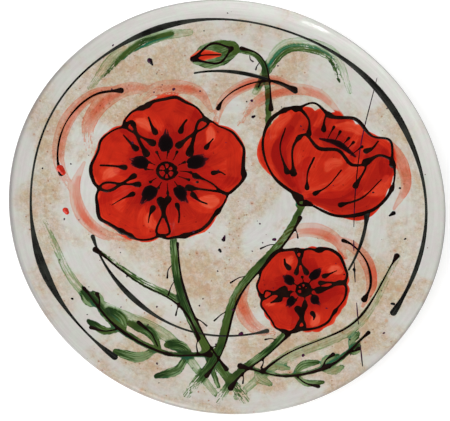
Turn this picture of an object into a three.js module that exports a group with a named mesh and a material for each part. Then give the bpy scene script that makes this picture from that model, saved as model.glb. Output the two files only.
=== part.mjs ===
// A round stoneware platter of coupe shape: a flat well that curves up into a low rim with a
// rounded lip, turned in one piece with its foot ring. Millimetres, +Z up. The origin is the
// centre of the foot's resting face, and the axis of the turning is Z.
import * as THREE from 'three';

// Driving dimensions.
const DIAMETER = 320;
const HEIGHT = 22; // from the foot's resting face to the top of the lip
const WELL_RADIUS = 88; // the flat middle of the upper face
const RIM_SLOPE = THREE.MathUtils.degToRad(16); // of both faces where they meet the lip
const LIP_RADIUS = 2.2;
const RECESS_HEIGHT = 4.5; // the underside inside the foot ring
const FOOT_RADIUS = 98;
const FOOT_WIDTH = 7.5;
const FOOT_EDGE = 0.8; // rounding of the foot's two lower edges
const FOOT_FLARE = 2.5; // how far the foot widens where it joins the underside

// How finely the curves are cut into flat facets.
const SEGMENTS_ROUND = 96;
const STEPS_UPPER = 9;
const STEPS_LIP_QUARTER = 3;
const STEPS_UNDER = 7;
const STEPS_EDGE = 2;

const GLAZE = { color: 0xc9c6be, roughness: 0.14, metalness: 0 };

// The lip is an arc that meets the upper face and the underside at their own slopes.
const lipCentre = new THREE.Vector2(DIAMETER / 2 - LIP_RADIUS, HEIGHT - LIP_RADIUS);

function onLip(angle) {
  return new THREE.Vector2(Math.cos(angle), Math.sin(angle)).multiplyScalar(LIP_RADIUS).add(lipCentre);
}

const lipInner = onLip(Math.PI / 2 + RIM_SLOPE);
const lipUnder = onLip(-Math.PI / 2 + RIM_SLOPE);

// The upper face curves up from the well's edge as a parabola that reaches the lip at RIM_SLOPE.
const wellRise = (Math.tan(RIM_SLOPE) * (lipInner.x - WELL_RADIUS)) / 2;
const wellFloor = lipInner.y - wellRise;

function upperFace() {
  const points = [new THREE.Vector2(0, wellFloor)];
  for (let i = 0; i <= STEPS_UPPER; i++) {
    const share = i / STEPS_UPPER;
    const radius = WELL_RADIUS + share * (lipInner.x - WELL_RADIUS);
    points.push(new THREE.Vector2(radius, wellFloor + wellRise * share * share));
  }
  return points;
}

// The steps land on the lip's top and on its outermost point, so the solid has its full size.
function lip() {
  const points = [];
  for (let step = STEPS_LIP_QUARTER; step > -STEPS_LIP_QUARTER; step--) {
    points.push(onLip((step / STEPS_LIP_QUARTER) * (Math.PI / 2)));
  }
  return points;
}

// The underside leaves the lip at RIM_SLOPE and runs out level at the foot ring.
function underside() {
  const footTop = new THREE.Vector2(FOOT_RADIUS + FOOT_FLARE, RECESS_HEIGHT);
  const bendRadius = lipUnder.x - (lipUnder.y - footTop.y) / Math.tan(RIM_SLOPE);
  const bend = new THREE.Vector2(bendRadius, footTop.y);
  return new THREE.QuadraticBezierCurve(lipUnder, bend, footTop).getPoints(STEPS_UNDER);
}

// A quarter arc at one of the foot's lower edges, from one angle to the other.
function footEdge(radius, fromAngle, toAngle) {
  const points = [];
  for (let i = 0; i <= STEPS_EDGE; i++) {
    const angle = THREE.MathUtils.lerp(fromAngle, toAngle, i / STEPS_EDGE);
    points.push(
      new THREE.Vector2(radius + FOOT_EDGE * Math.cos(angle), FOOT_EDGE + FOOT_EDGE * Math.sin(angle)),
    );
  }
  return points;
}

function footRing() {
  const innerRadius = FOOT_RADIUS - FOOT_WIDTH;
  return [
    ...footEdge(FOOT_RADIUS - FOOT_EDGE, 0, -Math.PI / 2),
    ...footEdge(innerRadius + FOOT_EDGE, -Math.PI / 2, -Math.PI),
    new THREE.Vector2(innerRadius - FOOT_FLARE, RECESS_HEIGHT),
    new THREE.Vector2(0, RECESS_HEIGHT),
  ];
}

function plate() {
  // LatheGeometry faces outward when its profile runs from the bottom of the axis to the top.
  const profile = [...upperFace(), ...lip(), ...underside(), ...footRing()].reverse();
  const geometry = new THREE.LatheGeometry(profile, SEGMENTS_ROUND);
  geometry.rotateX(Math.PI / 2);
  const mesh = new THREE.Mesh(geometry, new THREE.MeshStandardMaterial(GLAZE));
  mesh.name = 'plate';
  return mesh;
}

const platter = new THREE.Group();
platter.add(plate());

export default platter;
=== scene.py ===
import bpy
import numpy as np
from mathutils import Matrix, Vector


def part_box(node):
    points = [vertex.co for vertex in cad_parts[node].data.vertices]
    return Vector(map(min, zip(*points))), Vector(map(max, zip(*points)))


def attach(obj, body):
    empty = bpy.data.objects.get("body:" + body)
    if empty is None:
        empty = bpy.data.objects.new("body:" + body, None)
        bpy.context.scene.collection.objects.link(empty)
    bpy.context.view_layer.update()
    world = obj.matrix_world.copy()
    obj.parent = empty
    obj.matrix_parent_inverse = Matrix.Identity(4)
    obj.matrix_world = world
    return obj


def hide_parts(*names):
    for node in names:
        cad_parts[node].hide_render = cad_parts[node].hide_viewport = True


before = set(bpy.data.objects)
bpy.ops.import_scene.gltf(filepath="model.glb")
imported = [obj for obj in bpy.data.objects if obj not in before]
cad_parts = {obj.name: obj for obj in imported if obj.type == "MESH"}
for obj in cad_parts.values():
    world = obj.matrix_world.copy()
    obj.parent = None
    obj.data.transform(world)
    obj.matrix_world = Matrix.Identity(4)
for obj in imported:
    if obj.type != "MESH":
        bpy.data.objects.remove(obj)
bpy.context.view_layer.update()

MM = 0.001
rng = np.random.default_rng(11)

# The platter's form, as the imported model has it.
LOW, HIGH = (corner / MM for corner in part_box("plate"))
RADIUS = HIGH.x
WELL_RADIUS = 88.0
RIM_SLOPE = 16  # degrees
LIP_RADIUS = 2.2
LIP_CENTRE = np.array([RADIUS - LIP_RADIUS, HIGH.z - LIP_RADIUS])
RECESS_HEIGHT = 4.5
FOOT_RADIUS = 98.0
FOOT_WIDTH = 7.5
FOOT_EDGE = 0.8
FOOT_FLARE = 2.5

# How finely the platter's mesh is cut.
GRID_RADIUS = 150.0
GRID_CELLS = 240
BACK_CELLS = 60

# The drawing's banding rings and thrown glaze.
OUTER_RING = 145.0
INNER_RING = 103.0
RING_HALF = 0.75
UNBROKEN = 0.62  # how much of a thrown hair of glaze is whole

# Raised lines: the grid that they are cut from, and the shape of a bead of black glaze.
LINE_PITCH = 0.475
DROP_PITCH = 0.28
LINE_WEB = 1.8
LINE_SINK = 0.15

NOWHERE = -9.0  # how far inside each stroke and line a point is taken to be where none is near


# ---- Curves on the face ----

def polar(angle, radius):
    """The point, or points, at that angle in degrees and that radius."""
    turn = np.radians(angle)
    return np.stack([radius * np.cos(turn), radius * np.sin(turn)], axis=-1)


def curve(knots, steps=10):
    """A smooth curve through the knots."""
    p = np.asarray(knots, float)
    p = np.vstack([2 * p[0] - p[1], p, 2 * p[-1] - p[-2]])
    t = np.linspace(0, 1, steps, endpoint=False)[:, None]
    spans = []
    for a, b, c, d in zip(p, p[1:], p[2:], p[3:]):
        bend = (2 * a - 5 * b + 4 * c - d) * t**2 + (3 * b - a - 3 * c + d) * t**3
        spans.append(b + 0.5 * ((c - a) * t + bend))
    return np.vstack([*spans, p[-2:-1]])


def lengths(spine):
    """The length along the spine up to each of its points."""
    steps = np.linalg.norm(np.diff(spine, axis=0), axis=1)
    return np.concatenate([[0], np.cumsum(steps)])


def along(spine, *values):
    """A value at each point of the spine, from values spread evenly along it."""
    run = lengths(spine)
    return np.interp(run / run[-1], np.linspace(0, 1, len(values)), values)


def normals(spine):
    """The unit vector to the left of the spine at each of its points."""
    step = np.gradient(spine, axis=0)
    left = np.stack([-step[:, 1], step[:, 0]], 1)
    return left / np.linalg.norm(left, axis=1)[:, None]


def beside(spine, *gaps):
    """The spine moved to its left by gaps that are spread along it."""
    return spine + normals(spine) * along(spine, *gaps)[:, None]


def smoothstep(low, high, x):
    t = np.clip((x - low) / (high - low), 0, 1)
    return t * t * (3 - 2 * t)


def near(points, spine, reach):
    """Which points lie in the spine's box, widened by reach."""
    low, high = spine.min(0) - reach, spine.max(0) + reach
    return np.flatnonzero(((points > low) & (points < high)).all(1))


def measure(points, spine, half):
    """How far each point lies inside the stroke's edge, and its places across and along the stroke."""
    step = np.diff(spine, axis=0)
    rel = points[:, None] - spine[:-1]
    share = np.clip((rel * step).sum(2) / np.maximum((step**2).sum(1), 1e-9), 0, 1)
    gap = rel - share[..., None] * step
    inside = half[:-1] + share * np.diff(half) - np.hypot(gap[..., 0], gap[..., 1])
    best = inside.argmax(1)
    row = np.arange(len(points))
    aim, gap = step[best], gap[row, best]
    across = (aim[:, 0] * gap[:, 1] - aim[:, 1] * gap[:, 0]) / np.maximum(np.hypot(*aim.T), 1e-9)
    return inside[row, best], across, best + share[row, best]


class Paint:
    """Brush strokes of one colour, as felt at the given points of the face."""

    def __init__(self, points):
        self.points = points
        self.edge = np.full(len(points), NOWHERE)
        self.load = np.zeros(len(points))
        self.dry = np.zeros(len(points))
        self.grain = np.zeros((len(points), 3))
        self.strokes = 0

    def stroke(self, spine, widths, size, load, dry=0.0):
        """The half width is size times widths, load is how much colour the brush carries and dry how
        far the stroke breaks up. Each is one number, or some that are spread along the stroke."""
        values = (np.atleast_1d(v) for v in (np.multiply(widths, size), load, dry))
        half, load, dry = (along(spine, *v) for v in values)
        self.strokes += 1
        at = near(self.points, spine, half.max() + 4)
        if not len(at):
            return
        inside, across, place = measure(self.points[at], spine, half)
        index = np.arange(len(spine))
        # The load reaches a little past the edge, because the edge is cut sharply later.
        cover = smoothstep(-1.7, -0.3, inside)
        self.load[at] += cover * (np.interp(place, index, load) - 0.7 * self.load[at])
        self.dry[at] += cover * (np.interp(place, index, dry) - self.dry[at])
        self.edge[at] = np.maximum(self.edge[at], inside)
        run = np.interp(place, index, lengths(spine))
        grain = np.stack([across, run, np.full(len(at), 7.3 * self.strokes)], 1)
        self.grain[at[cover > 0.5]] = grain[cover > 0.5]


class Trail:
    """Raised lines and drops of one glaze, which flow together where they meet."""

    def __init__(self):
        self.lines = []

    def line(self, spine, half):
        """A line, with its half width at each point."""
        self.lines.append((spine, half))

    def taper(self, spine, *widths):
        """A line whose half width runs evenly through the widths."""
        spine = np.asarray(spine, float)
        self.line(spine, along(spine, *widths))

    def pour(self, spine, half, start, stop, pauses=0, weight=1.0):
        """A line from a slip trailer: it swells slowly, starts and stops in a drop, and thickens
        where the hand paused."""
        run = lengths(spine)
        swell = 0.27 * np.sin(run / 13 + rng.uniform(0, 6))
        swell += 0.12 * np.sin(run / 4.3 + rng.uniform(0, 6))
        drops = (start - half) * np.exp(-((run / 3.5) ** 2))
        drops += (stop - half) * np.exp(-(((run[-1] - run) / 4.5) ** 2))
        for place in rng.uniform(0.15, 0.85, pauses) * run[-1]:
            drops += np.exp(-(((run - place) / 2.6) ** 2))
        self.line(spine, weight * (half * (1 + swell) + drops))

    def reach(self):
        """The box of all the lines."""
        low = np.min([spine.min(0) - half.max() for spine, half in self.lines], axis=0)
        high = np.max([spine.max(0) + half.max() for spine, half in self.lines], axis=0)
        return low, high

    def field(self, points):
        """How far inside the lines each point lies."""
        total = np.full(len(points), NOWHERE)
        for spine, half in self.lines:
            at = near(points, spine, half.max() + 2)
            for part in np.array_split(at, len(at) // 20000 + 1):
                inside = measure(points[part], spine, half)[0]
                meet = np.maximum(LINE_WEB - np.abs(total[part] - inside), 0) ** 2 / (4 * LINE_WEB)
                total[part] = np.maximum(total[part], inside) + meet
        return total


class Art:
    """All that is painted on the face: brush strokes in four colours, and raised lines and drops."""

    def __init__(self, points):
        self.red, self.crimson, self.green, self.plum = (Paint(points) for _ in range(4))
        self.lines, self.rings, self.drops, self.beads = (Trail() for _ in range(4))


# ---- The poppies ----

def vary(amount, size=None):
    """A random number, or so many, from -amount to amount."""
    return rng.uniform(-amount, amount, size)


def upright(p):
    return p


def squasher(ratio, direction):
    """Foreshortens a flower that faces away, along that direction."""
    axis = polar(direction, 1.0)
    return lambda p: p - (1 - ratio) * (p @ axis)[..., None] * axis


EDGE_WAVES = ((0.035, 3.1), (0.022, 6.7), (0.009, 14))  # the height and rate of each


class Petal:
    """A petal that grows from centre and points along aim. Spread is half its width, in degrees."""

    def __init__(self, centre, aim, spread, length, squash=upright):
        self.centre = centre
        self.aim = aim
        self.spread = spread
        self.length = length
        self.squash = squash
        self.phases = rng.uniform(0, 2 * np.pi, 3)

    def at(self, turn, share):
        """The point that is turn across the petal, from -1 to 1, and share of the way to its edge."""
        turn, share = np.asarray(turn, float), np.asarray(share, float)
        waves = [h * np.sin(k * turn + p) for (h, k), p in zip(EDGE_WAVES, self.phases)]
        reach = 0.97 - 0.04 * turn**2 - 0.1 * turn**4 + sum(waves)
        angle = self.aim + turn * self.spread * (0.55 + 0.45 * share)
        return self.centre + self.squash(polar(angle, self.length * reach * share))

    def spine(self, turn, share):
        return curve(self.at(turn, share))

    def paint(self, red, load):
        """Strokes side by side from the base outwards, then one along the edge."""
        width = 0.0036 * self.spread * self.length
        for turn in np.linspace(-0.85, 0.85, 6) + vary(0.04, 6):
            size = width * (1 + vary(0.1))
            tones = np.array([1.2, 1.0, 0.9, 0.9]) * load * (1 + vary(0.2))
            red.stroke(self.spine(turn, [0.1, 0.45, 0.84]), (0.4, 0.9, 1.15, 0.9), size, tones)
        rim = self.spine(np.linspace(-0.95, 0.95, 11), 0.89)
        tones = np.array([0.85, 1.0, 0.8, 0.95, 0.8]) * load * (1 + vary(0.08))
        red.stroke(rim, (0.06, 0.1, 0.11, 0.1, 0.06), self.length, tones)

    def thin(self, red, side):
        """Two marks where the brush took colour off again, on that side of the petal."""
        for turn, inner, outer, load in ((0.35, 0.5, 0.84, 0.62), (0.55, 0.66, 0.84, 0.36)):
            turns = side * np.array([turn - 0.06, turn, turn + 0.12]) + vary(0.08)
            spine = self.spine(turns, np.array([inner, (inner + outer) / 2, outer]) + vary(0.04))
            size = (0.062 + vary(0.02)) * self.length
            red.stroke(spine, (0.3, 0.8, 1.0, 0.5), size, load + vary(0.06))

    def shade(self, crimson, side):
        """A second coat: fanned out from the base, and down one side."""
        size = 0.0032 * self.spread * self.length
        for turn, outer in ((-0.5, 0.55), (0.0, 0.48), (0.45, 0.6)):
            spine = self.spine(turn + vary(0.12), [0.06, 0.3, outer + vary(0.08)])
            crimson.stroke(spine, (0.5, 1.0, 1.1, 0.5), size, 0.8 + vary(0.2), (0, 0, 0.2, 0.5))
        turns = side * np.array([-0.7, -0.78, -0.84, -0.66])
        spine = self.spine(turns, np.array([0.3, 0.55, 0.78, 0.93]) + vary(0.03))
        size = (0.085 + vary(0.02)) * self.length
        crimson.stroke(spine, (0.4, 1.0, 1.1, 0.4), size, 0.75 + vary(0.2), (0, 0, 0.1, 0.35))

    def outline(self, lines):
        """One line up a side, along the waved edge and down the other side."""
        turns = np.linspace(-1, 1, 11) + vary(0.02, 11)
        edge = self.at(turns, 0.97 + vary(0.012, 11))
        rise = self.at([-0.9 + vary(0.1), -0.98], [0.42, 0.68])
        fall = self.at([0.98, 0.85 + vary(0.15)], [0.66, 0.42 + vary(0.05)])
        spine = curve([*rise, *edge, *fall], 8) + vary(1.2, 2)
        lines.pour(spine, 1.15, 2.6, 2.8, pauses=2, weight=0.6 + 0.006 * self.length)

    def folds(self, lines, count):
        """Short lines from the middle of the petal outwards."""
        for turn in np.linspace(-0.5, 0.5, count) + vary(0.12, count):
            ends = np.array([0.55 + vary(0.05), 0.8 + vary(0.08)])
            shares = np.interp([0, 0.5, 1], [0, 1], ends)
            lines.pour(self.spine(turn + vary(0.05, 3), shares), 0.75, 2.1, 0.55)

    def blotch(self, plum):
        """The dark mark at the petal's base, brushed outwards."""
        for turn, outer in ((-0.2, 0.46), (0.22, 0.47), (0.0, 0.55)):
            shares = [0.3, 0.38, outer + vary(0.03)]
            spine = self.spine(turn + vary(0.04, 3), shares)
            size = 0.05 * self.length
            plum.stroke(spine, (0.8, 1.1, 0.8, 0.3), size, (1.2, 1.0, 0.6), (0, 0.1, 0.6))


def pod(art, centre, size, squash):
    """The seed pod: a wash, a ring and a star."""
    wash = centre + squash(curve([(-0.4 * size, 0), (0, 0.1 * size), (0.4 * size, 0)]))
    art.green.stroke(wash, 0.62, size, 0.55)
    ring = curve(polar(np.linspace(20, 352, 9), size * (0.95 + vary(0.06, 9))), 6)
    art.lines.pour(centre + squash(ring), 0.85, 1.6, 1.8)
    for angle in np.arange(0, 360, 60) + vary(10, 6):
        spoke = curve(polar(angle, size * np.array([0.08, 0.35, 0.6])), 4)
        art.lines.taper(centre + squash(spoke), 0.5, 0.4, 0.7)


def stamens(lines, centre, angles, start, stop, lean, squash=upright):
    """Threads that point away from the centre, up to lean degrees askew, with a drop at each tip."""
    for angle in angles + vary(lean, len(angles)):
        reach = np.linspace(start, stop + vary(0.3) * (stop - start), 3)
        spine = curve(polar(angle + vary(0.4) * lean * np.arange(3), reach), 6)
        lines.taper(centre + squash(spine), 0.35, 0.35, 0.5, 1.2)


def open_poppy(art, centre, size, turn, count, squash=upright):
    """A poppy that faces the viewer."""
    aims = turn + np.arange(count) * 360 / count + vary(7, count)
    petals = [Petal(centre, aim, 200 / count, size * (1 + vary(0.06)), squash) for aim in aims]
    petals = petals[::2] + petals[1::2]
    side = rng.choice([-1, 1])
    for petal in petals:
        petal.paint(art.red, 0.95)
        petal.thin(art.red, side)
        petal.shade(art.crimson, side)
    for petal in petals:
        petal.outline(art.lines)
        petal.folds(art.lines, 2 if size > 50 else 1)
        petal.blotch(art.plum)
    pod_size = 2.5 + 0.08 * size
    pod(art, centre, pod_size, squash)
    angles = np.arange(0, 360, 1800 / size)
    stamens(art.lines, centre, angles, 1.35 * pod_size, 0.27 * size, 5, squash)


# The lines of a poppy seen from the side: across and along it, in shares of its size.
CUP_OUTLINES = (
    ((-0.5, 0.78), (-0.38, 0.93), (-0.17, 0.9), (0.04, 0.99), (0.25, 0.92), (0.43, 0.96), (0.56, 0.76)),
    ((-0.03, 0.02), (-0.34, 0.07), (-0.58, 0.28), (-0.65, 0.56), (-0.52, 0.79), (-0.35, 0.76),
     (-0.27, 0.63)),
    ((0.04, 0.01), (0.36, 0.05), (0.61, 0.27), (0.67, 0.54), (0.57, 0.77), (0.42, 0.79), (0.33, 0.66)),
    ((-0.2, 0.2), (-0.33, 0.42), (-0.3, 0.6), (-0.12, 0.55), (0.05, 0.63), (0.22, 0.57), (0.35, 0.62),
     (0.36, 0.4)),
)
CUP_FOLDS = (
    ((-0.02, 0.14), (-0.09, 0.28), (-0.11, 0.44)),
    ((0.07, 0.13), (0.14, 0.27), (0.17, 0.47)),
    ((-0.26, 0.18), (-0.43, 0.35), (-0.49, 0.56)),
    ((0.33, 0.16), (0.47, 0.33), (0.54, 0.58)),
    ((-0.17, 0.74), (-0.2, 0.8), (-0.22, 0.86)),
    ((0.28, 0.76), (0.32, 0.82), (0.33, 0.9)),
)
CUP_SHADE = (
    ((-0.28, 0.68), (0.0, 0.71), (0.3, 0.7)),
    ((-0.16, 0.1), (-0.42, 0.3), (-0.44, 0.58)),
    ((0.05, 0.08), (0.3, 0.22), (0.4, 0.4)),
    ((-0.06, 0.1), (-0.14, 0.26), (-0.14, 0.4)),
    ((0.44, 0.84), (0.5, 0.76), (0.56, 0.6)),
)
CUP_THIN = (
    ((-0.55, 0.42), (-0.58, 0.54), (-0.53, 0.68)),
    ((0.05, 0.4), (0.06, 0.48), (0.12, 0.53)),
    ((0.48, 0.38), (0.58, 0.48), (0.58, 0.62)),
    ((-0.08, 0.84), (0.04, 0.9), (0.14, 0.9)),
)
CUP_MOUTH_SIDE = ((0.2, 0.9), (0.42, 0.88), (0.53, 0.76), (0.6, 0.56))
CUP_THROAT = ((-0.16, 0.64), (0.02, 0.69), (0.22, 0.66))


def side_poppy(art, base, aim, size):
    """A poppy seen from the side, like a cup with a paler petal in front."""
    axes = size * np.array([polar(aim - 90, 1.0), polar(aim, 1.0)])

    def on_face(knots):
        return base + curve(np.array(knots) @ axes)

    for turn in np.linspace(-1, 1, 9) + vary(0.03, 9):
        belly, top = (0.51 * turn, 0.37 - 0.14 * turn**2), (0.52 * turn, 0.89 - 0.19 * turn**2)
        spine = on_face([(0, 0.05), belly, top])
        art.red.stroke(spine, (0.4, 1.05, 0.9), 0.095 * size, 1.05 + vary(0.2))
    art.red.stroke(on_face(CUP_MOUTH_SIDE), 0.05, size, 0.9)
    for turn in np.linspace(-1, 1, 5) + vary(0.04, 5):
        spine = on_face([(0, 0.08), (0.22 * turn, 0.3), (0.29 * turn, 0.53)])
        art.red.stroke(spine, (0.3, 1.0, 1.0), 0.085 * size, 0.62 + vary(0.08))
    for knots in CUP_THIN:
        art.red.stroke(on_face(knots), (0.3, 1.0, 0.5), 0.045 * size, 0.48 + vary(0.08))
    for knots in CUP_SHADE:
        art.crimson.stroke(on_face(knots), (0.5, 1.0, 0.5), 0.08 * size, 1.0 + vary(0.2), (0, 0, 0.3))
    for knots in CUP_OUTLINES:
        art.lines.pour(on_face(knots), 1.2, 2.6, 2.4, pauses=1)
    for knots in CUP_FOLDS:
        art.lines.pour(on_face(knots), 0.75, 2.0, 0.6)
    art.plum.stroke(on_face(CUP_THROAT), (0.3, 1.0, 0.3), 0.035 * size, 1.0, 0.3)
    stamens(art.lines, base, aim + np.linspace(-15, 7, 5), 0.67 * size, 0.79 * size, 1.2)
    cup = base + curve(polar(aim, np.array([-4, 0, 5])))
    art.green.stroke(cup, (2.6, 4.4, 3.6), 1, 1.2)
    under = base + curve([polar(aim + 80, 6.5), polar(aim + 180, 3.5), polar(aim - 80, 6.5)])
    art.lines.pour(under, 1.0, 2.0, 1.6)


def bud(art, base, aim, size):
    """A green bud that has split and shows red."""
    tip = base + polar(aim, size)
    spine = curve([base, (base + tip) / 2 + polar(aim + 90, 0.5), tip])
    art.green.stroke(spine, (0.22, 0.36, 0.36, 0.16), size, (1.1, 0.8, 0.6))
    middle = base + polar(aim - 4, 0.8 * size)
    slit = curve([base + polar(aim + 12, 0.35 * size), middle, base + polar(aim - 3, 1.12 * size)])
    art.red.stroke(slit, (0.03, 0.12, 0.16, 0.07), size, 0.95)
    for side in (30, -32):
        belly = base + polar(aim + side, 0.55 * size)
        shell = curve([base, belly, tip + polar(aim - abs(side) / 2, 0.11 * size)])
        art.lines.pour(shell, 0.8, 1.6, 1.5)
    art.lines.taper(slit, 0.6, 0.6, 0.5)


# ---- Stems, leaves and washes ----

def stem(art, knots, half, hairs=5):
    """A green stroke with a black line down one side and short hairs on both."""
    spine = curve(knots, 12)
    load, dry = (1.5, 0.75, 1.35, 0.7, 1.5, 0.9, 0.6), (0, 0, 0.1, 0.1, 0.15, 0.75)
    art.green.stroke(spine, (0.8, 1, 1.1, 1.1, 1.2), half, load, dry)
    art.lines.pour(beside(spine, 0.95 * half)[4:-6], 0.75, 1.5, 1.9)
    left, step = normals(spine), np.gradient(spine, axis=0)
    for i in np.linspace(8, len(spine) - 14, hairs).astype(int):
        out = left[i] * rng.choice([-1, 1])
        root = spine[i] + out * half * 0.9
        tip = root + out * (5 + vary(1.2)) + step[i] * 2.2
        hair = curve([root, root + out * 2.8 + step[i] * 0.8, tip], 4)
        art.lines.taper(hair, 0.35, 0.4, 0.7)


def leaf(art, knots, width, lobes, load):
    """Pointed brush marks on both sides of a rib, longest near the middle, some with a vein."""
    spine = curve(knots, 12)
    step = np.gradient(spine, axis=0)
    heading = np.degrees(np.arctan2(step[:, 1], step[:, 0]))
    for k, share in enumerate(np.linspace(0.16, 0.86, lobes)):
        for side in (-1, 1):
            i = int((share + vary(0.03)) * (len(spine) - 1))
            size = width * (0.5 + 0.7 * np.sin(np.pi * min(1, share * 0.9 + 0.15))) * (1 + vary(0.22))
            out = heading[i] + side * (54 - 24 * share + vary(7))
            mark = spine[i] + curve([(0, 0), polar(out, 0.5 * size), polar(out - side * 20, size)], 6)
            thick = width * (1 + vary(0.15))
            tones = np.array([1.1, 0.75, 0.8, 1.0, 1.5]) * load * (0.8 + vary(0.45))
            art.green.stroke(mark, (0.07, 0.13, 0.17, 0.16, 0.09), thick, tones, (0, 0, 0.2, 0))
            if k and (k + (side > 0)) % 2:
                middle, tip = polar(out + side * 2, 0.5 * size), polar(out - side * 8, 0.9 * size)
                vein = spine[i] + curve([polar(out, 0.15 * size), middle, tip], 6)
                art.lines.taper(vein, 0.5, 0.6, 1.5)
    art.green.stroke(spine, (0.1, 0.09, 0.1, 0.12, 0.04), width, load * 1.1)
    art.lines.pour(spine + vary(0.6, 2), 0.9, 2.4, 1.8, pauses=1)


def blade(art, knots, half, load, lined=False):
    """A thin wash of grass that runs dry at its tip. It may have a black line beside it."""
    spine = curve(knots)
    art.green.stroke(spine, (0.6, 1.2, 1, 0.5), half, load, (0.2, 0.4, 0.35, 0.5, 0.62))
    if lined:
        side = beside(spine, 0.4 * half, 0.8 * half, 0.3 * half)
        art.lines.pour(side[len(spine) // 5:], 0.7, 1.4, 2.2)


def pale_sweeps(art, centre, size, arcs):
    """Thin first washes that show past the petals. Each arc has a start and stop angle and a reach,
    and may have a black line on it."""
    for start, stop, reach, lined in arcs:
        radii = size * reach * np.array([0.86, 0.98, 1.0, 0.97, 0.84]) * (1 + vary(0.015, 5))
        spine = centre + curve(polar(np.linspace(start, stop, 5), radii))
        thick, load = 1 + vary(0.15), 0.14 + vary(0.07, 4)
        art.red.stroke(spine, (1.3, 4.3, 5.6, 4.7, 2.0), thick, load, (0.1, 0, 0.15, 0.4, 0.8))
        inner = beside(spine, *vary(2.0, 3))[6:-9]
        thick, load = 1 + vary(0.2), (0.2, *(0.31 + vary(0.1, 2)), 0.16)
        art.red.stroke(inner, (0.8, 2.2, 1.8, 0.8), thick, load, (0.3, 0.1, 0.5))
        if lined:
            art.lines.pour(beside(spine, 1.5, -1.5)[3:-7], 0.75, 2.3, 1.8)


# ---- Banding rings and thrown glaze ----

def band(rings, radius, centre, start, stop, swells):
    """An arc of a banding ring. Each swell has an angle, an extra half width and a spread."""
    angles = np.linspace(start, stop, int((stop - start) / 2.5) + 2)
    turns = np.radians(angles)
    wobble = 0.5 * np.sin(turns * 3 + 1) + 0.35 * np.sin(turns * 7 + 2)
    half = np.full(len(angles), RING_HALF)
    for at, extra, spread in swells:
        half += extra * np.exp(-(((angles - at) / spread) ** 2))
    rings.line(centre + polar(angles, radius + wobble), half)


def fling(drops, knots):
    """A hair of glaze thrown over the face, which breaks into dashes."""
    spine = curve(knots, 30)
    stop = int(UNBROKEN * len(spine))
    drops.taper(spine[:stop], 0.25, 0.42, 0.38, 0.45, 0.3)
    while stop < len(spine) - 3:
        start = stop + rng.integers(2, 5)
        stop = start + rng.integers(3, 7)
        if len(spine[start:stop]) > 2:
            drops.taper(spine[start:stop], 0.3, 0.55, 0.3)


def spatter(drops, count, low, high):
    """Drops flicked from a brush, each with a short tail."""
    for _ in range(count):
        place = polar(rng.uniform(0, 360), 150 * np.sqrt(rng.uniform(0.02, 1)))
        half = rng.uniform(low, high)
        tail = polar(rng.uniform(0, 360), half * rng.uniform(0.1, 1.3))
        drops.taper([place, place + tail], half, 0.75 * half)


# ---- The drawing ----

def draw_washes(art):
    left_arcs = ((92, 168, 1.2, 0), (112, 200, 1.38, 1), (176, 244, 1.2, 0), (56, 112, 1.17, 0))
    pale_sweeps(art, (-46, 22), 59, left_arcs)
    pale_sweeps(art, (54, 2), 79, ((64, 128, 1.12, 0), (88, 140, 1.27, 1), (-4, 50, 1.02, 0)))
    pale_sweeps(art, (54, -66), 38, ((-16, 66, 1.36, 1), (38, 116, 1.22, 0), (176, 236, 1.24, 0)))


def draw_foliage(art):
    blade(art, [(-10, -146), (-44, -104), (-104, -74), (-134, -22)], 3.6, 0.2)
    blade(art, [(4, -148), (40, -118), (92, -92), (124, -40)], 3.6, 0.16, lined=True)
    blade(art, [(-8, -140), (-30, -84), (-66, -62), (-96, -40)], 2.6, 0.8, lined=True)
    blade(art, [(-30, 133), (-58, 127), (-86, 110), (-104, 84)], 4.2, 0.14)
    blade(art, [(-44, 131), (-66, 122), (-84, 106), (-94, 92)], 1.6, 1.1)
    blade(art, [(20, 88), (42, 125), (78, 121), (92, 90)], 4.0, 0.13)
    blade(art, [(22, 92), (44, 122), (74, 118), (84, 98)], 2.4, 0.9)
    leaf(art, [(-14, -116), (-46, -116), (-80, -98), (-104, -70)], 22, 4, 1.02)
    leaf(art, [(8, -124), (40, -131), (73, -122), (100, -98)], 17, 4, 0.72)
    stem(art, [(-42, -18), (-36, -66), (-18, -108), (10, -149)], 3.1)
    stem(art, [(54, -2), (40, -28), (6, -70), (-8, -114), (-30, -146)], 2.9)
    stem(art, [(47, -92), (28, -112), (6, -130), (-8, -150)], 2.5, hairs=3)


def draw_flowers(art):
    stem(art, [(2, 122), (22, 116), (29, 96), (30, 50)], 2.1, hairs=3)
    bud(art, (2, 122), 200, 28)
    open_poppy(art, (-46, 22), 59, 20, 5)
    side_poppy(art, (54, 2), 60, 79)
    open_poppy(art, (54, -66), 38, 50, 4, squasher(0.84, -50))


def draw_rings(rings):
    swells = ((34, 1.9, 20), (112, 1.6, 12), (203, 2.5, 11), (236, 1.6, 5), (-18, 0.9, 12), (-35, 1.6, 4))
    band(rings, OUTER_RING, (0, -0.6), -35, 236, swells)
    band(rings, INNER_RING, (-1, 1), 60, 104, ((60, 1.4, 3), (82, 0.9, 12)))
    band(rings, INNER_RING, (-1, 1), 198, 286, ((198, 0.9, 3), (228, 1.3, 12), (286, 1.0, 3)))
    band(rings, INNER_RING, (-1, 1), -30, -4, ((-4, 1.6, 3), (-14, 0.6, 8)))


def draw_drops(art):
    fling(art.drops, [(112, 100), (98, 40), (92, -30), (94, -124)])
    spatter(art.drops, 70, 0.35, 0.75)
    spatter(art.drops, 14, 0.8, 1.3)
    large = (((-60, 109), (-58, 106), 2.1), ((122, -6), (119, -8), 1.7), ((-4, -30), (-3, -27), 1.5))
    for start, end, half in large:
        art.drops.taper([start, end], half, 0.4 * half)
    art.beads.taper([(-124, 20), (-122, 17)], 2.7, 2.2)
    art.beads.taper([(-119, -12), (-118, -13.5)], 2.2, 1.7)


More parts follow.
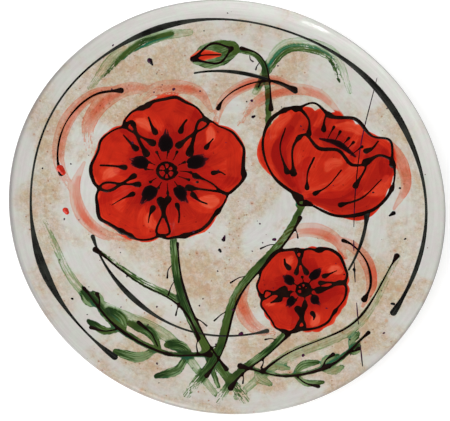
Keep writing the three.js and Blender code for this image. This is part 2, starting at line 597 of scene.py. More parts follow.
def draw(points):
    art = Art(points)
    draw_washes(art)
    draw_foliage(art)
    draw_flowers(art)
    draw_rings(art.rings)
    draw_drops(art)
    return art


# ---- Materials ----

def srgb(red, green, blue):
    """A colour picked as 0 to 255, for a shader."""
    values = np.array([red, green, blue]) / 255
    linear = np.where(values <= 0.04045, values / 12.92, ((values + 0.055) / 1.055) ** 2.4)
    return (*linear.tolist(), 1.0)


class Nodes:
    """A node tree. Most methods return the socket that holds their result."""

    def __init__(self, tree):
        self.tree = tree

    def put(self, node, socket, value):
        target = node.inputs[socket]
        if isinstance(value, bpy.types.NodeSocket):
            self.tree.links.new(value, target)
        else:
            target.default_value = value

    def node(self, kind, inputs, output=0, **settings):
        made = self.tree.nodes.new(kind)
        for key, value in settings.items():
            setattr(made, key, value)
        for socket, value in inputs.items():
            self.put(made, socket, value)
        return made.outputs[output]

    def part(self, vector, index):
        """One of a vector's three numbers."""
        return self.node("ShaderNodeSeparateXYZ", {0: vector}, index)

    def ramp(self, value, stops):
        made = self.tree.nodes.new("ShaderNodeValToRGB")
        self.put(made, "Fac", value)
        points = made.color_ramp.elements
        while len(points) < len(stops):
            points.new(1.0)
        for point, (position, colour) in zip(points, stops):
            point.position = position
            point.color = colour
        return made.outputs[0]


class Shader(Nodes):
    """One material's nodes."""

    def __init__(self, name, **settings):
        self.material = bpy.data.materials.new(name)
        self.material.use_nodes = True
        super().__init__(self.material.node_tree)
        self.surface = self.tree.nodes["Principled BSDF"]
        for socket, value in settings.items():
            self.put(self.surface, socket.replace("_", " "), value)
        self.here = self.node("ShaderNodeTexCoord", {}, "Object")

    def finish(self, colour, relief, roughness=None):
        """Gives these to the surface and returns the material."""
        self.put(self.surface, "Base Color", colour)
        self.put(self.surface, "Normal", relief)
        if roughness:
            self.put(self.surface, "Roughness", roughness)
        return self.material

    def noise(self, size, detail=2.0, roughness=0.5, at=None, distortion=0.0):
        """Noise whose lumps are about that many millimetres."""
        inputs = {"Vector": at or self.here, "Scale": 1 / (size * MM), "Detail": detail}
        inputs |= {"Roughness": roughness, "Distortion": distortion}
        return self.node("ShaderNodeTexNoise", inputs)

    def streaks(self, vector, scale, detail=3, roughness=0.6):
        """Noise over a vector in millimetres, drawn out where the scale is low."""
        return self.noise(1 / MM, detail, roughness, at=self.scaled(vector, scale))

    def maths(self, operation, a, b):
        return self.node("ShaderNodeMath", {0: a, 1: b}, operation=operation)

    def times(self, product, *factors):
        for factor in factors:
            product = self.maths("MULTIPLY", product, factor)
        return product

    def plus(self, a, b):
        return self.maths("ADD", a, b)

    def minus(self, a, b):
        return self.maths("SUBTRACT", a, b)

    def step(self, value, low, high, start=0.0, end=1.0):
        """Runs smoothly from start to end as value goes from low to high."""
        inputs = {"Value": value, "From Min": low, "From Max": high, "To Min": start, "To Max": end}
        return self.node("ShaderNodeMapRange", inputs, interpolation_type="SMOOTHSTEP")

    def about_one(self, noise, reach):
        """A factor that the noise takes above and below 1 by up to reach."""
        return self.step(noise, 0.25, 0.75, 1 - reach, 1 + reach)

    def mix(self, share, a, b, blend="MIX"):
        inputs = {0: share, 6: a, 7: b}
        return self.node("ShaderNodeMix", inputs, 2, data_type="RGBA", blend_type=blend)

    def seen_through(self, below, through, load):
        """What is below a glaze that lets through so much of each colour at a load of 1."""
        tint = self.node("ShaderNodeGamma", {"Color": through, "Gamma": load})
        return self.mix(1.0, below, tint, "MULTIPLY")

    def scaled(self, vector, scale=(1, 1, 1), turn=0.0):
        inputs = {"Vector": vector, "Rotation": (0, 0, np.radians(turn)), "Scale": scale}
        return self.node("ShaderNodeMapping", inputs)

    def attribute(self, name, output="Fac"):
        return self.node("ShaderNodeAttribute", {}, output, attribute_name=name)

    def bump(self, height, depth, before=None):
        """Relief of that depth in millimetres, on top of any relief before it."""
        inputs = {"Height": height, "Distance": depth * MM}
        if before:
            inputs["Normal"] = before
        return self.node("ShaderNodeBump", inputs)


WHITE_GLAZE = srgb(204, 202, 195)
COOL_GLAZE = srgb(207, 208, 203)
BRIGHT_GLAZE = srgb(211, 210, 204)
TURNED_GREY = srgb(186, 184, 177)
RIM_WHITE_AND_PAINTED_HIGHLIGHT = (srgb(204, 203, 198), srgb(229, 229, 224))  # at the near left and the far right: the far right is painted lighter, a painted highlight
SPONGED_TAN = srgb(177, 153, 129)
RUST_BLOT = srgb(192, 138, 100)
RUST_SPECK = srgb(156, 110, 78)
IRON_SPECK = srgb(92, 58, 40)
FRESH_GREEN = srgb(84, 104, 44)
TEAL = srgb(22, 116, 94)
DARK_RED = srgb(104, 18, 16)
DARK_PLUM = srgb(48, 20, 30)
# The lip's grey: clay through thin glaze, and painted shade.
LIP_GREY_AND_SHADE = srgb(112, 107, 108)
# How dark the lip is, by the angle in degrees: partly clay showing through, partly painted shade.
LIP_WEAR_AND_SHADE = (
    (-180, 0.8), (-150, 0.66), (-128, 0.42), (-100, 0.36), (-80, 0.12), (-35, 0.45), (20, 0.75),
    (48, 0.7), (62, 0.08), (80, 0.2), (100, 0.6), (128, 0.35), (146, 0.75), (180, 0.8),
)
# What the glaze does here and there to every colour that is under it.
PINKISH = (1.018, 0.972, 0.998, 1)
GREENISH = (0.985, 1.022, 0.992, 1)
# How much of what is below it each colour lets through at full strength.
WASH_THROUGH = (0.83, 0.515, 0.305, 1)
RED_THROUGH = (1.01, 0.04, 0.0154, 1)
GREEN_THROUGH = (0.075, 0.205, 0.05, 1)
PLUM_THROUGH = (0.06, 0.012, 0.03, 1)
CRIMSON_THROUGH = (0.83, 0.58, 0.8, 1)
# A dense stroke's colours, each after the load that has it. The ramps end at the densest load.
DENSEST = 1.6
RED_TONES = ((0.5, 220, 98, 72), (0.7, 214, 72, 46), (0.95, 198, 44, 24), (1.35, 168, 31, 20))
GREEN_TONES = ((0.5, 136, 157, 116), (0.8, 73, 98, 54), (1.0, 43, 68, 31), (1.4, 29, 50, 23))
PLUM_TONES = ((0.5, 70, 24, 30), (0.8, 38, 12, 16), (1.0, 22, 9, 11), (1.4, 14, 8, 9))


def specks(s, below, size, share, largest, colour, strength=1.0, soft=0.02):
    """Dots of that colour, one in some cells of that size. Share is how many cells hold one."""
    cell = s.tree.nodes.new("ShaderNodeTexVoronoi")
    s.put(cell, "Vector", s.here)
    s.put(cell, "Scale", 1 / (size * MM))
    inputs = {"Color": cell.outputs["Color"]}
    lot, chance = (s.node("ShaderNodeSeparateColor", inputs, output) for output in (0, 1))
    radius = s.times(s.step(chance, 0.0, 1.0, 0.25, 1.0), largest / size)
    uneven = s.times(s.noise(0.8, 1), 0.4 * largest / size)
    inside = s.minus(s.plus(cell.outputs["Distance"], uneven), radius)
    dot = s.times(s.maths("LESS_THAN", lot, share), s.step(inside, soft, -soft), strength)
    return s.mix(dot, below, colour)


def tan_cover(s, turned, far_right, radius):
    """Where the tan wash lies: in soft patches, and hardly at the far right of the rim."""
    patches = s.noise(60, 2, 0.5, at=turned, distortion=0.8)
    lumps = s.noise(12, 3, 0.6, at=turned, distortion=0.6)
    cleaner = s.times(s.step(radius, 141, 150), s.step(far_right, -0.02, 0.08, 0.11, 0.24))
    return s.step(s.minus(s.plus(patches, s.times(lumps, 0.33)), cleaner), 0.52, 0.81)


def tan_strength(s):
    """How strong the wash is, from the sponge's dabs, the wiping and the grain."""
    dabs = s.noise(5.5, 2, 0.5, distortion=0.8)
    wiped = s.noise(9, 4, 0.6, at=s.scaled(s.here, (1, 0.14, 1), turn=24))
    grain = s.noise(1.7, 3, 0.7)
    body = s.plus(s.plus(s.times(dabs, 0.5), s.times(wiped, 0.3)), s.times(grain, 0.2))
    return s.step(body, 0.38, 0.62, 0.22, 0.7)


def white_glaze(s, far_right, radius):
    """White that differs over the well, is painted lighter along the rim's far right as a painted
    highlight, and has turning streaks.
    """
    white = s.mix(s.step(s.noise(55, 3), 0.35, 0.65), WHITE_GLAZE, COOL_GLAZE)
    # painted highlight: the rim's white is lighter towards the far right
    rim_white_and_highlight = s.mix(s.step(far_right, 0.04, 0.165), *RIM_WHITE_AND_PAINTED_HIGHLIGHT)
    white = s.mix(s.step(radius, 143, 157), white, rim_white_and_highlight)
    streaks = s.streaks(s.attribute("turning", "Vector"), (0.6, 0.6, 0.5))
    return s.mix(s.step(streaks, 0.35, 0.65, 0.0, 0.3), white, TURNED_GREY)


def sponged_ground(s):
    """White glaze with a tan wash, sponged on in soft patches and partly wiped off."""
    turned = s.scaled(s.here, turn=33)
    far_right = s.part(s.scaled(s.here, turn=-65), 0)
    radius = s.attribute("turned_radius")
    cover = tan_cover(s, turned, far_right, radius)
    # the white carries a painted highlight on the far right of the rim
    white = white_glaze(s, far_right, radius)
    tanned = s.seen_through(white, WASH_THROUGH, s.times(cover, tan_strength(s)))
    dusty = s.step(s.noise(1.1, 3, 0.7), 0.42, 0.64, 0.0, 0.5)
    tanned = s.mix(s.times(dusty, s.step(cover, 0.0, 0.8, 0.03)), tanned, SPONGED_TAN)
    bright = s.step(s.noise(5, 3, 0.6, distortion=0.5), 0.5, 0.68, 0.0, 0.22)
    tanned = s.mix(bright, tanned, BRIGHT_GLAZE)
    mottled = s.step(s.noise(3.2, 4, 0.8, at=turned, distortion=0.3), 0.34, 0.66, 0.89, 1.09)
    tanned = s.mix(s.step(cover, 0.0, 0.5, 0.15, 1.0), tanned, mottled, "MULTIPLY")
    crowded = s.times(cover, s.step(s.noise(17, 2), 0.42, 0.6, 0.15, 0.95))
    tanned = specks(s, tanned, 8.0, s.times(cover, 0.5), 1.9, RUST_BLOT, 0.6, 0.12)
    return specks(s, tanned, 3.2, crowded, 0.9, RUST_SPECK, 0.75, 0.06)


def brushed(s, below, name, through, tones, grain, comb=0.1, ragged=0.9, pools=0.0):
    """Lays one colour's strokes over what is below: thin ones tint it, and dense ones hide it. Comb
    is how strongly the bristles show, ragged how many millimetres the edge wanders, and pools how
    much the colour gathers in places along the edge."""
    bristles = s.streaks(grain, (1.1, 0.07, 1))
    edge = s.plus(s.attribute(name + "_edge"), s.times(s.minus(s.noise(4, 4, 0.6), 0.5), ragged))
    patchy = s.streaks(grain, (0.9, 0.35, 1), 2)
    skips = s.times(s.attribute(name + "_dry"), s.step(patchy, 0.35, 0.65, 0.5, 0.88))
    cover = s.times(s.step(edge, -0.12, 0.18), s.step(s.minus(bristles, skips), 0.0, 0.1))
    load = s.attribute(name + "_load")
    dense = s.step(load, 0.3, 0.6)
    fringe = s.mix(dense, s.step(edge, 0.1, 1.3, 1.45, 0.92), s.step(edge, 0.0, 2.2, 0.72, 1.0))
    combed = s.mix(dense, s.about_one(bristles, 2 * comb), s.about_one(bristles, comb))
    cloudy = s.about_one(s.noise(12, 3, 0.5, distortion=0.4), 0.12)
    heap = s.times(s.step(edge, 1.5, 0.4), s.step(s.noise(3.5, 2), 0.4, 0.6, 0.0, pools))
    load = s.times(load, fringe, combed, cloudy, s.plus(heap, 1.0))
    thin = s.seen_through(below, through, load)
    stops = [(at / DENSEST, srgb(*colour)) for at, *colour in tones]
    solid = s.ramp(s.maths("DIVIDE", load, DENSEST), stops)
    colour = s.mix(s.step(load, 0.38, 0.6), thin, solid)
    return s.mix(cover, below, colour), s.times(cover, load)


def second_coat(s, below, red, grain):
    """Deepens the red below where it was painted over."""
    bristles = s.streaks(grain, (0.9, 0.05, 1))
    edge = s.plus(s.attribute("crimson_edge"), s.times(s.minus(s.noise(6, 3), 0.5), 1.6))
    held = s.step(s.minus(bristles, s.times(s.attribute("crimson_dry"), 0.6)), 0.0, 0.3)
    cover = s.times(s.step(edge, -0.1, 0.7), held, s.step(red, 0.3, 0.6))
    load = s.times(s.attribute("crimson_load"), s.about_one(bristles, 0.15), cover)
    return s.seen_through(below, CRIMSON_THROUGH, load)


def teal_side(s, grain):
    """One side of some of the green strokes, where a bluer colour was on the brush."""
    inputs = {"W": s.part(grain, 2), "Scale": 3.1}
    lot = s.node("ShaderNodeTexNoise", inputs, noise_dimensions="1D")
    side = s.plus(s.part(grain, 0), s.times(s.noise(7), 1.6))
    return s.times(s.step(lot, 0.5, 0.54), s.step(side, 1.7, 2.7), 0.6)


def uneven_tint(s, below):
    """The fired colours lean to pink in some places and to green in others."""
    lean = s.step(s.noise(7, 3, 0.6, distortion=0.4), 0.36, 0.64)
    return s.mix(1.0, below, s.mix(lean, PINKISH, GREENISH), "MULTIPLY")


def lip_wear_and_painted_shade(s, below):
    """A grey line along the lip, uneven round the platter and wider at the left and far side: partly thin
    glaze with grey clay showing, partly painted shade.
    """
    across, far = s.part(s.here, 0), s.part(s.here, 1)
    turn = s.plus(s.maths("DIVIDE", s.maths("ARCTAN2", far, across), 2 * np.pi), 0.5)
    worn_and_shaded = s.ramp(turn, [((angle + 180) / 360, (wear_and_shade, wear_and_shade, wear_and_shade, 1)) for angle, wear_and_shade in LIP_WEAR_AND_SHADE])
    width = s.plus(s.step(across, -0.14, -0.02, 3.8, 1.3), s.step(far, 0.06, 0.15, 0.0, 1.0))
    inwards = s.maths("DIVIDE", s.minus(RADIUS, s.attribute("turned_radius")), width)
    return s.mix(s.times(s.step(inwards, 1.0, 0.2), worn_and_shaded), below, LIP_GREY_AND_SHADE)


def painted_glaze():
    """The painted face, from the white glaze up."""
    s = Shader("painted_glaze")
    grain = s.attribute("grain", "Vector")
    colour = specks(s, sponged_ground(s), 8.0, 0.45, 0.55, IRON_SPECK)
    colour, green = brushed(s, colour, "green", GREEN_THROUGH, GREEN_TONES, grain, 0.4, 1.9, 0.6)
    fresh = s.times(s.step(s.noise(26, 2), 0.45, 0.62, 0.0, 0.34), green)
    colour = s.mix(fresh, colour, FRESH_GREEN)
    colour = s.mix(s.times(teal_side(s, grain), green), colour, TEAL)
    colour, red = brushed(s, colour, "red", RED_THROUGH, RED_TONES, grain)
    colour = second_coat(s, colour, red, grain)
    colour = specks(s, colour, 4.2, s.times(red, 0.36), 0.75, DARK_RED, 0.7, 0.06)
    colour, plum = brushed(s, colour, "plum", PLUM_THROUGH, PLUM_TONES, grain)
    colour = specks(s, colour, 13.0, 0.5, 0.42, DARK_PLUM)
    # a grey line along the lip, partly painted shade
    colour = lip_wear_and_painted_shade(s, uneven_tint(s, colour))
    relief = s.bump(s.plus(green, s.plus(red, plum)), 0.05)
    relief = s.bump(s.noise(3.5, 2), 0.012, before=relief)
    relief = s.bump(s.noise(26, 1), 0.2, before=relief)
    return s.finish(colour, relief, s.step(s.noise(4, 3), 0.2, 0.8, 0.03, 0.075))


def back_glaze():
    """Plain white glaze over the turned underside, with iron specks."""
    s = Shader("back_glaze", Roughness=0.16)
    uneven = s.mix(s.noise(30, 3), WHITE_GLAZE, srgb(190, 181, 166))
    colour = specks(s, uneven, 7.0, 0.5, 0.45, srgb(110, 84, 62))
    rings = s.streaks(s.attribute("turning", "Vector"), (0.25, 0.25, 0.4), 2, 0.5)
    return s.finish(colour, s.bump(rings, 0.3))


def bare_clay():
    """The unglazed foot."""
    s = Shader("bare_clay", Roughness=0.85)
    body = s.mix(s.noise(5, 4, 0.6), srgb(176, 150, 122), srgb(150, 122, 96))
    grog = s.step(s.noise(0.9, 2), 0.64, 0.7)
    return s.finish(s.mix(grog, body, srgb(92, 70, 54)), s.bump(s.noise(0.7, 3, 0.7), 0.12))


def black_line():
    """Black glaze, a little brown where it is thin."""
    s = Shader("black_line")
    tone = s.mix(s.step(s.noise(11, 3), 0.4, 0.75), srgb(20, 8, 6), srgb(33, 19, 14))
    return s.finish(tone, s.bump(s.noise(1.8, 2), 0.04), s.step(s.noise(3, 3), 0.2, 0.8, 0.06, 0.2))


def ring_line():
    """Black stain banded on with a brush: greyer, with paler stretches."""
    s = Shader("ring_line", Roughness=0.14)
    streaks = s.streaks(s.attribute("turning", "Vector"), (0.6, 0.6, 1.4))
    tone = s.mix(s.step(s.noise(17, 4, 0.6), 0.35, 0.7), srgb(20, 20, 18), srgb(47, 49, 44))
    tone = s.mix(s.step(streaks, 0.5, 0.75, 0.0, 0.5), tone, srgb(82, 82, 76))
    return s.finish(tone, s.bump(s.noise(2.2, 3), 0.04))


def plum_drops():
    """Black drops, some of them purple."""
    s = Shader("plum_drops", Roughness=0.1)
    tone = s.mix(s.step(s.noise(24, 2), 0.4, 0.52), srgb(16, 11, 12), srgb(62, 20, 50))
    return s.finish(tone, s.bump(s.noise(1.4, 2), 0.03))


def red_beads():
    """Red glaze in drops."""
    s = Shader("red_beads", Roughness=0.08)
    tone = s.mix(s.step(s.noise(2.4, 2), 0.35, 0.65), srgb(214, 56, 34), srgb(176, 34, 22))
    return s.finish(tone, s.bump(s.noise(2, 2), 0.03))


# ---- The platter ----

# Where the lip takes over from the face, and where it ends under the rim.
FACE_END = LIP_CENTRE + polar(90 + RIM_SLOPE, LIP_RADIUS)
BACK_START = LIP_CENTRE + polar(RIM_SLOPE - 90, LIP_RADIUS)
RIM_GRADIENT = np.tan(np.radians(RIM_SLOPE))
# The bake maps: the middle and radius of the platter's two discs, and the corner and size of the
# two copies of each raised piece.
FACE_MAP = (0.415, 0.405)
BACK_MAP = (0.84, 0.15)
UPPER_MAP = (0.01, 0.66)
LOWER_MAP = (0.69, 0.3)
FACE, BACK, FOOT = 0, 1, 2


def face_height(radius):
    """The upper face: flat in the well, then a parabola up to the lip."""
    width = FACE_END[0] - WELL_RADIUS
    rise = RIM_GRADIENT * width / 2
    share = np.maximum(radius - WELL_RADIUS, 0) / width
    return FACE_END[1] - rise + rise * share**2


def face_rings():
    """Radius and height of each ring from the grid's edge to the lower end of the lip."""
    slope = [(radius, face_height(radius)) for radius in np.linspace(GRID_RADIUS, FACE_END[0], 6)[1:]]
    lip = [LIP_CENTRE + polar(angle, LIP_RADIUS) for angle in range(90, -75, -15)]
    return [*slope, *lip]


def back_rings():
    """From under the lip, down to the foot."""
    end = np.array([FOOT_RADIUS + FOOT_FLARE, RECESS_HEIGHT])
    bend = np.array([BACK_START[0] - (BACK_START[1] - end[1]) / RIM_GRADIENT, end[1]])
    shares = np.linspace(0, 1, 16)[:, None]
    return list((1 - shares) ** 2 * BACK_START + 2 * shares * (1 - shares) * bend + shares**2 * end)


def foot_rings():
    """Round the foot's two lower edges and up to the recess."""
    rings = []
    inner = FOOT_RADIUS - FOOT_WIDTH
    for radius, start in ((FOOT_RADIUS - FOOT_EDGE, 0), (inner + FOOT_EDGE, -90)):
        for angle in np.linspace(start, start - 90, 4):
            rings.append(np.array([radius, FOOT_EDGE]) + polar(angle, FOOT_EDGE))
    return [*rings, np.array([inner - FOOT_FLARE, RECESS_HEIGHT])]


def quads_between(at):
    """The quads between neighbours in a grid of vertex numbers."""
    return np.stack([at[:-1, :-1], at[1:, :-1], at[1:, 1:], at[:-1, 1:]], -1).reshape(-1, 4)


def disc(cells):
    """A square grid drawn out to a disc of radius 1, its quads, and its outer loop from -45 degrees."""
    side = np.linspace(-1, 1, cells + 1)
    x, y = np.meshgrid(side, side, indexing="ij")
    wide = np.abs(x) >= np.abs(y)
    radius = np.where(wide, x, y)
    lean = np.where(wide, y, x) / np.where(radius == 0, 1, radius)
    turn = np.where(wide, lean, 2 - lean) * 45
    at = np.arange((cells + 1) ** 2).reshape(cells + 1, cells + 1)
    loop = np.concatenate([at[-1, :-1], at[:0:-1, -1], at[0, :0:-1], at[:-1, 0]])
    return polar(turn, radius).reshape(-1, 2), quads_between(at), loop


def joined(first, second):
    """Faces between two loops. The first may have a whole number of times as many vertices."""
    many = len(first) // len(second)
    faces = []
    for k in range(len(second)):
        after = (k + 1) % len(second)
        steps = [first[(many * k + i) % len(first)] for i in range(many, -1, -1)]
        faces.append([second[k], second[after], *steps])
    return faces


class Surface:
    """Collects the platter's vertices and faces."""

    def __init__(self):
        self.points = []
        self.run = []  # each vertex's length along the profile
        self.faces = []
        self.parts = []

    def add(self, points, run):
        """Adds vertices and returns their numbers."""
        start = len(self.points)
        self.points.extend(points.tolist())
        self.run.extend(np.broadcast_to(run, len(points)).tolist())
        return np.arange(start, start + len(points))

    def skin(self, faces, part):
        self.faces.extend([int(v) for v in face] for face in faces)
        self.parts.extend([part] * len(faces))

    def rings(self, loop, profile, count, part):
        """Adds a ring for each radius and height, joined on from the loop, and returns the last."""
        angles = -45 + np.arange(count) * 360 / count
        last, run = np.array(self.points[loop[0]]), self.run[loop[0]]
        last = np.array([np.hypot(last[0], last[1]), last[2]])
        for radius, height in profile:
            run += np.hypot(radius - last[0], height - last[1])
            ring = np.column_stack([polar(angles, radius), np.full(count, height)])
            made = self.add(ring, run)
            self.skin(joined(loop, made), part)
            loop, last = made, np.array([radius, height])
        return loop


def platter_surface():
    surface = Surface()
    flat, quads, loop = disc(GRID_CELLS)
    flat = flat * GRID_RADIUS
    radius = np.hypot(*flat.T)
    grid = surface.add(np.column_stack([flat, face_height(radius)]), radius)
    surface.skin(grid[quads], FACE)
    fine, coarse = len(loop), 4 * BACK_CELLS
    loop = surface.rings(grid[loop], face_rings(), fine, FACE)
    loop = surface.rings(loop, back_rings()[:2], fine, BACK)
    loop = surface.rings(loop, back_rings()[2:], coarse, BACK)
    loop = surface.rings(loop, foot_rings(), coarse, FOOT)
    flat, quads, edge = disc(BACK_CELLS)
    flat = flat * (FOOT_RADIUS - FOOT_WIDTH - FOOT_FLARE - 1)
    run = surface.run[loop[0]] + 1 + flat[edge[0], 0] - np.hypot(*flat.T)
    cap = surface.add(np.column_stack([flat, np.full(len(flat), RECESS_HEIGHT)]), run)
    surface.skin(joined(loop, cap[edge]), BACK)
    surface.skin(cap[quads][:, ::-1], BACK)
    return surface


def store_map(mesh, places):
    mesh.uv_layers.new(name="OFBake").uv.foreach_set("vector", places.ravel())


def platter_map(mesh, surface, points):
    """A flat map of the platter: a large disc for its face and a small one for its back."""
    run, parts = np.array(surface.run), np.array(surface.parts)
    split = max(run[v] for v in surface.faces[np.flatnonzero(parts == FACE)[-1]])
    angle = np.degrees(np.arctan2(points[:, 1], points[:, 0]))
    face = FACE_MAP[0] + polar(angle, FACE_MAP[1] * run / split)
    back = BACK_MAP[0] + polar(angle, BACK_MAP[1] * (run.max() - run) / (run.max() - split))
    vertex = np.array([v for f in surface.faces for v in f])
    on_face = np.repeat(parts == FACE, [len(f) for f in surface.faces])[:, None]
    store_map(mesh, np.where(on_face, face[vertex], back[vertex]))


def store(mesh, name, values):
    """Keeps a number, or a vector, for each vertex."""
    kind, field = ("FLOAT_VECTOR", "vector") if values.ndim == 2 else ("FLOAT", "value")
    kept = mesh.attributes.new(name, kind, "POINT")
    kept.data.foreach_set(field, values.astype(np.float32).ravel())


def store_turning(mesh, points):
    """A vector whose last number runs outwards, and whose others run round without a seam."""
    radius = np.hypot(points[:, 0], points[:, 1])
    around = points[:, :2] / np.maximum(radius, 1e-6)[:, None] * 6
    store(mesh, "turning", np.column_stack([around, radius]))
    store(mesh, "turned_radius", radius)


def placed(name, data):
    """A new object in the scene."""
    made = bpy.data.objects.new(name, data)
    bpy.context.scene.collection.objects.link(made)
    return made


def new_piece(name, mesh, materials):
    for material in materials:
        mesh.materials.append(material)
    mesh.shade_smooth()
    piece = placed(name, mesh)
    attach(piece, "root")
    return piece


def make_platter(surface, points, art):
    mesh = bpy.data.meshes.new("platter")
    mesh.from_pydata((points * MM).tolist(), [], surface.faces)
    for name in ("red", "crimson", "green", "plum"):
        for kind in ("edge", "load", "dry"):
            store(mesh, name + "_" + kind, getattr(getattr(art, name), kind))
    # The grain is that of the uppermost colour within a millimetre.
    grain = np.where(art.red.edge[:, None] > -1, art.red.grain, art.green.grain)
    store(mesh, "grain", np.where(art.plum.edge[:, None] > -1, art.plum.grain, grain))
    store_turning(mesh, points)
    platter_map(mesh, surface, points)
    mesh.polygons.foreach_set("material_index", surface.parts)
    piece = new_piece("platter", mesh, [painted_glaze(), back_glaze(), bare_clay()])
    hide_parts("plate")


# ---- Raised lines ----

def blurred(grid):
    """Each value averaged with its neighbours along both axes."""
    for axis in (0, 1):
        grid = (np.roll(grid, 1, axis) + 2 * grid + np.roll(grid, -1, axis)) / 4
    return grid


def clipped(triangles, inside):
    """The parts of the triangles where inside is above zero, and the pairs of grid points between
    which their cut corners lie. The cut corners are numbered after the grid's points."""
    held = inside[triangles] > 0
    count = held.sum(1)
    lone = np.where(count == 1, held.argmax(1), (~held).argmax(1))
    turned = np.take_along_axis(triangles, (lone[:, None] + np.arange(3)) % 3, 1)
    one, two, whole = (turned[count == n] for n in (1, 2, 3))
    cuts = np.concatenate([one[:, :2], one[:, ::2], two[:, :2], two[:, ::2]])
    pairs, number = np.unique(np.sort(cuts, 1), axis=0, return_inverse=True)
    ends = np.cumsum([len(one), len(one), len(two)])
    first, second, third, fourth = np.split(number.reshape(-1) + len(inside), ends)
    tips = np.column_stack([one[:, 0], first, second])
    strips = np.column_stack([third, two[:, 1], two[:, 2], fourth])
    return [*whole.tolist(), *tips.tolist(), *strips.tolist()], pairs


def bead_mesh(name, trail, rise, round_off, pitch):
    """A closed mesh over the trail's lines, sunk a little into the face. It is domed like a bead of
    glaze: it is nearly rise high where it is more than round_off inside its edge."""
    low, high = trail.reach()
    x, y = (np.arange(a - 2 * pitch, b + 3 * pitch, pitch) for a, b in zip(low, high))
    grid = np.stack(np.meshgrid(x, y, indexing="ij"), -1)
    flat = grid.reshape(-1, 2)
    inside = trail.field(flat)
    height = rise * np.tanh(np.maximum(inside, 0) / round_off)
    height = blurred(height.reshape(grid.shape[:2])).ravel()
    quads = quads_between(np.arange(len(flat)).reshape(grid.shape[:2]))
    triangles = np.concatenate([quads[:, :3], quads[:, [0, 2, 3]]])
    faces, pairs = clipped(triangles[(inside[triangles] > 0).any(1)], inside)
    near_end, far_end = inside[pairs].T
    share = np.clip(near_end / (near_end - far_end), 0.08, 0.92)[:, None]
    whole = np.column_stack([flat, height])
    rim = whole[pairs[:, 0]] * (1 - share) + whole[pairs[:, 1]] * share
    return sealed(name, whole, rim, faces)


def sealed(name, whole, rim, faces):
    """Joins the beads' upper faces to lower ones along their shared rims, with a sharp edge there."""
    flat, height = whole[:, :2], whole[:, 2]
    used = np.unique([v for face in faces for v in face if v < len(flat)])
    count = len(used)
    number = np.full(len(flat) + len(rim), -1)
    number[used] = np.arange(count)
    number[len(flat):] = 2 * count + np.arange(len(rim))
    top = [[int(number[v]) for v in face] for face in faces]
    bottom = [[v + count if v < count else v for v in reversed(face)] for face in top]
    places = np.vstack([flat[used], flat[used], rim[:, :2]])
    lift = np.concatenate([height[used], np.full(count, -LINE_SINK), rim[:, 2] - 0.01])
    solid = np.column_stack([places, face_height(np.hypot(*places.T)) + lift])
    mesh = bpy.data.meshes.new(name)
    mesh.from_pydata((solid * MM).tolist(), [], top + bottom)
    store_turning(mesh, solid)
    ends = np.empty(2 * len(mesh.edges), int)
    mesh.edges.foreach_get("vertices", ends)
    sharp = (ends.reshape(-1, 2) >= 2 * count).all(1)
    mesh.attributes.new("sharp_edge", "BOOLEAN", "EDGE").data.foreach_set("value", sharp)
    bead_map(mesh, places, top + bottom)
    return mesh


def bead_map(mesh, places, faces):
    """A flat map: large for the upper faces, which come first, and small for the lower ones."""
    vertex = np.array([v for face in faces for v in face])
    unit = ((places - places.min(0)) / np.ptp(places, axis=0).max())[vertex]
    upper = np.arange(len(vertex))[:, None] < len(vertex) // 2
    store_map(mesh, np.where(upper, *(corner + size * unit for corner, size in (UPPER_MAP, LOWER_MAP))))


def make_lines(art):
    for name, trail, rise, round_off, pitch, glaze, slot in (
        ("black_outlines", art.lines, 0.28, 1.3, LINE_PITCH, black_line, "black_line"),
        ("banding_rings", art.rings, 0.1, 1.2, LINE_PITCH, ring_line, "black_line"),
        ("plum_drops", art.drops, 0.4, 1.0, DROP_PITCH, plum_drops, "black_line"),
        ("red_beads", art.beads, 0.8, 1.6, DROP_PITCH, red_beads, "glaze"),
    ):
        new_piece(name, bead_mesh(name, trail, rise, round_off, pitch), [glaze()])


# ---- Stage ----

CAMERA_AZIMUTH = -15.84
CAMERA_ELEVATION = 70.02
CAMERA_DISTANCE = 1.15
CAMERA_AIM = Vector((-0.0017, -0.0032, 0))
CAMERA_LENS = 124.19
FLOOR_HALF = 3.0
FLOOR_GAP = 0.0001
FLOOR_GREYS = ((0.44, 0.44, 0.44, 1), (0.46, 0.46, 0.46, 1))
# Each light's azimuth, elevation, distance, size and power, and what it may light: matt surfaces
# and reflections.
LIGHTS = {
    "softbox": (-62, 57, 1.6, 1.5, 29.5, True, False),
    "softbox_gleam": (-61, 59, 1.6, 1.6, 12, False, True),
    "back": (140, 36, 1.6, 0.7, 4, True, False),
    "back_gleam": (140, 36, 1.6, 0.7, 0.7, False, True),
    "lamp": (-130, 86.6, 1.9, 0.041, 0.075, True, True),
}


def direction(azimuth, elevation):
    """From the platter towards that azimuth, where 0 is the front and 90 the right, and elevation."""
    a, e = np.radians(azimuth), np.radians(elevation)
    return Vector((np.sin(a) * np.cos(e), -np.cos(a) * np.cos(e), np.sin(e)))


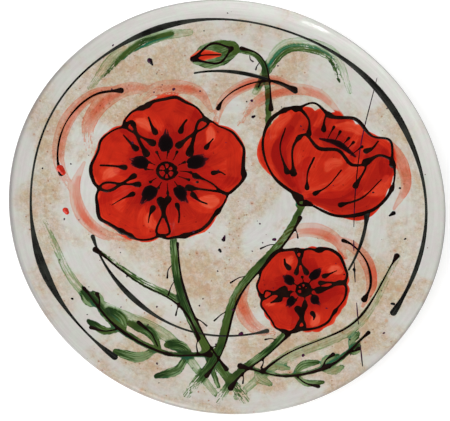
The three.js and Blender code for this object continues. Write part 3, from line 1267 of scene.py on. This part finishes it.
def make_camera():
    data = bpy.data.cameras.new("camera")
    data.lens = CAMERA_LENS
    camera = placed("camera", data)
    back = direction(CAMERA_AZIMUTH, CAMERA_ELEVATION)
    right = Vector((0, 1, 0)).cross(back).normalized()
    up = back.cross(right)
    turn = Matrix((right, up, back)).transposed().to_4x4()
    camera.matrix_world = Matrix.Translation(CAMERA_AIM + back * CAMERA_DISTANCE) @ turn
    bpy.context.scene.camera = camera


def make_light(name, azimuth, elevation, distance, size, power, diffuse, glossy):
    """A round light that faces the platter."""
    data = bpy.data.lights.new(name, "AREA")
    data.shape = "DISK"
    data.size = size
    data.energy = power
    light = placed(name, data)
    back = direction(azimuth, elevation)
    turn = back.to_track_quat("Z", "Y").to_matrix().to_4x4()
    light.matrix_world = Matrix.Translation(back * distance) @ turn
    light.visible_camera = False
    light.visible_diffuse = diffuse
    light.visible_glossy = glossy


def make_world():
    """A soft light all round that darkens overhead, so that the black glaze reflects little."""
    world = bpy.data.worlds.new("studio")
    bpy.context.scene.world = world
    world.use_nodes = True
    w = Nodes(world.node_tree)
    upwards = w.part(w.node("ShaderNodeTexCoord", {}, "Generated"), 2)
    light = w.ramp(upwards, ((0.0, (1, 1, 1, 1)), (0.85, (0.04, 0.04, 0.04, 1))))
    w.put(w.tree.nodes["Background"], "Color", light)
    w.put(w.tree.nodes["Background"], "Strength", 0.55)


def make_floor():
    """A grey floor just under the foot, which shines by itself so that it comes out white."""
    mesh = bpy.data.meshes.new("floor")
    level = LOW.z * MM - FLOOR_GAP
    corners = [(x * FLOOR_HALF, y * FLOOR_HALF, level) for x, y in ((-1, -1), (1, -1), (1, 1), (-1, 1))]
    mesh.from_pydata(corners, [], [(0, 1, 2, 3)])
    s = Shader("floor", Roughness=0.9, Emission_Color=(1, 1, 1, 1), Emission_Strength=0.7)
    s.put(s.surface, "Base Color", s.mix(s.noise(300), *FLOOR_GREYS))
    mesh.materials.append(s.material)
    placed("floor", mesh)


make_camera()
make_world()
for name, light in LIGHTS.items():
    make_light(name, *light)
make_floor()
bpy.context.scene.view_settings.view_transform = "Standard"

surface = platter_surface()
points = np.array(surface.points)
art = draw(points[:, :2])
for paint in (art.red, art.crimson, art.green, art.plum):
    paint.edge[points[:, 2] < HIGH.z / 2] = NOWHERE  # none of it on the underside
make_platter(surface, points, art)
make_lines(art)
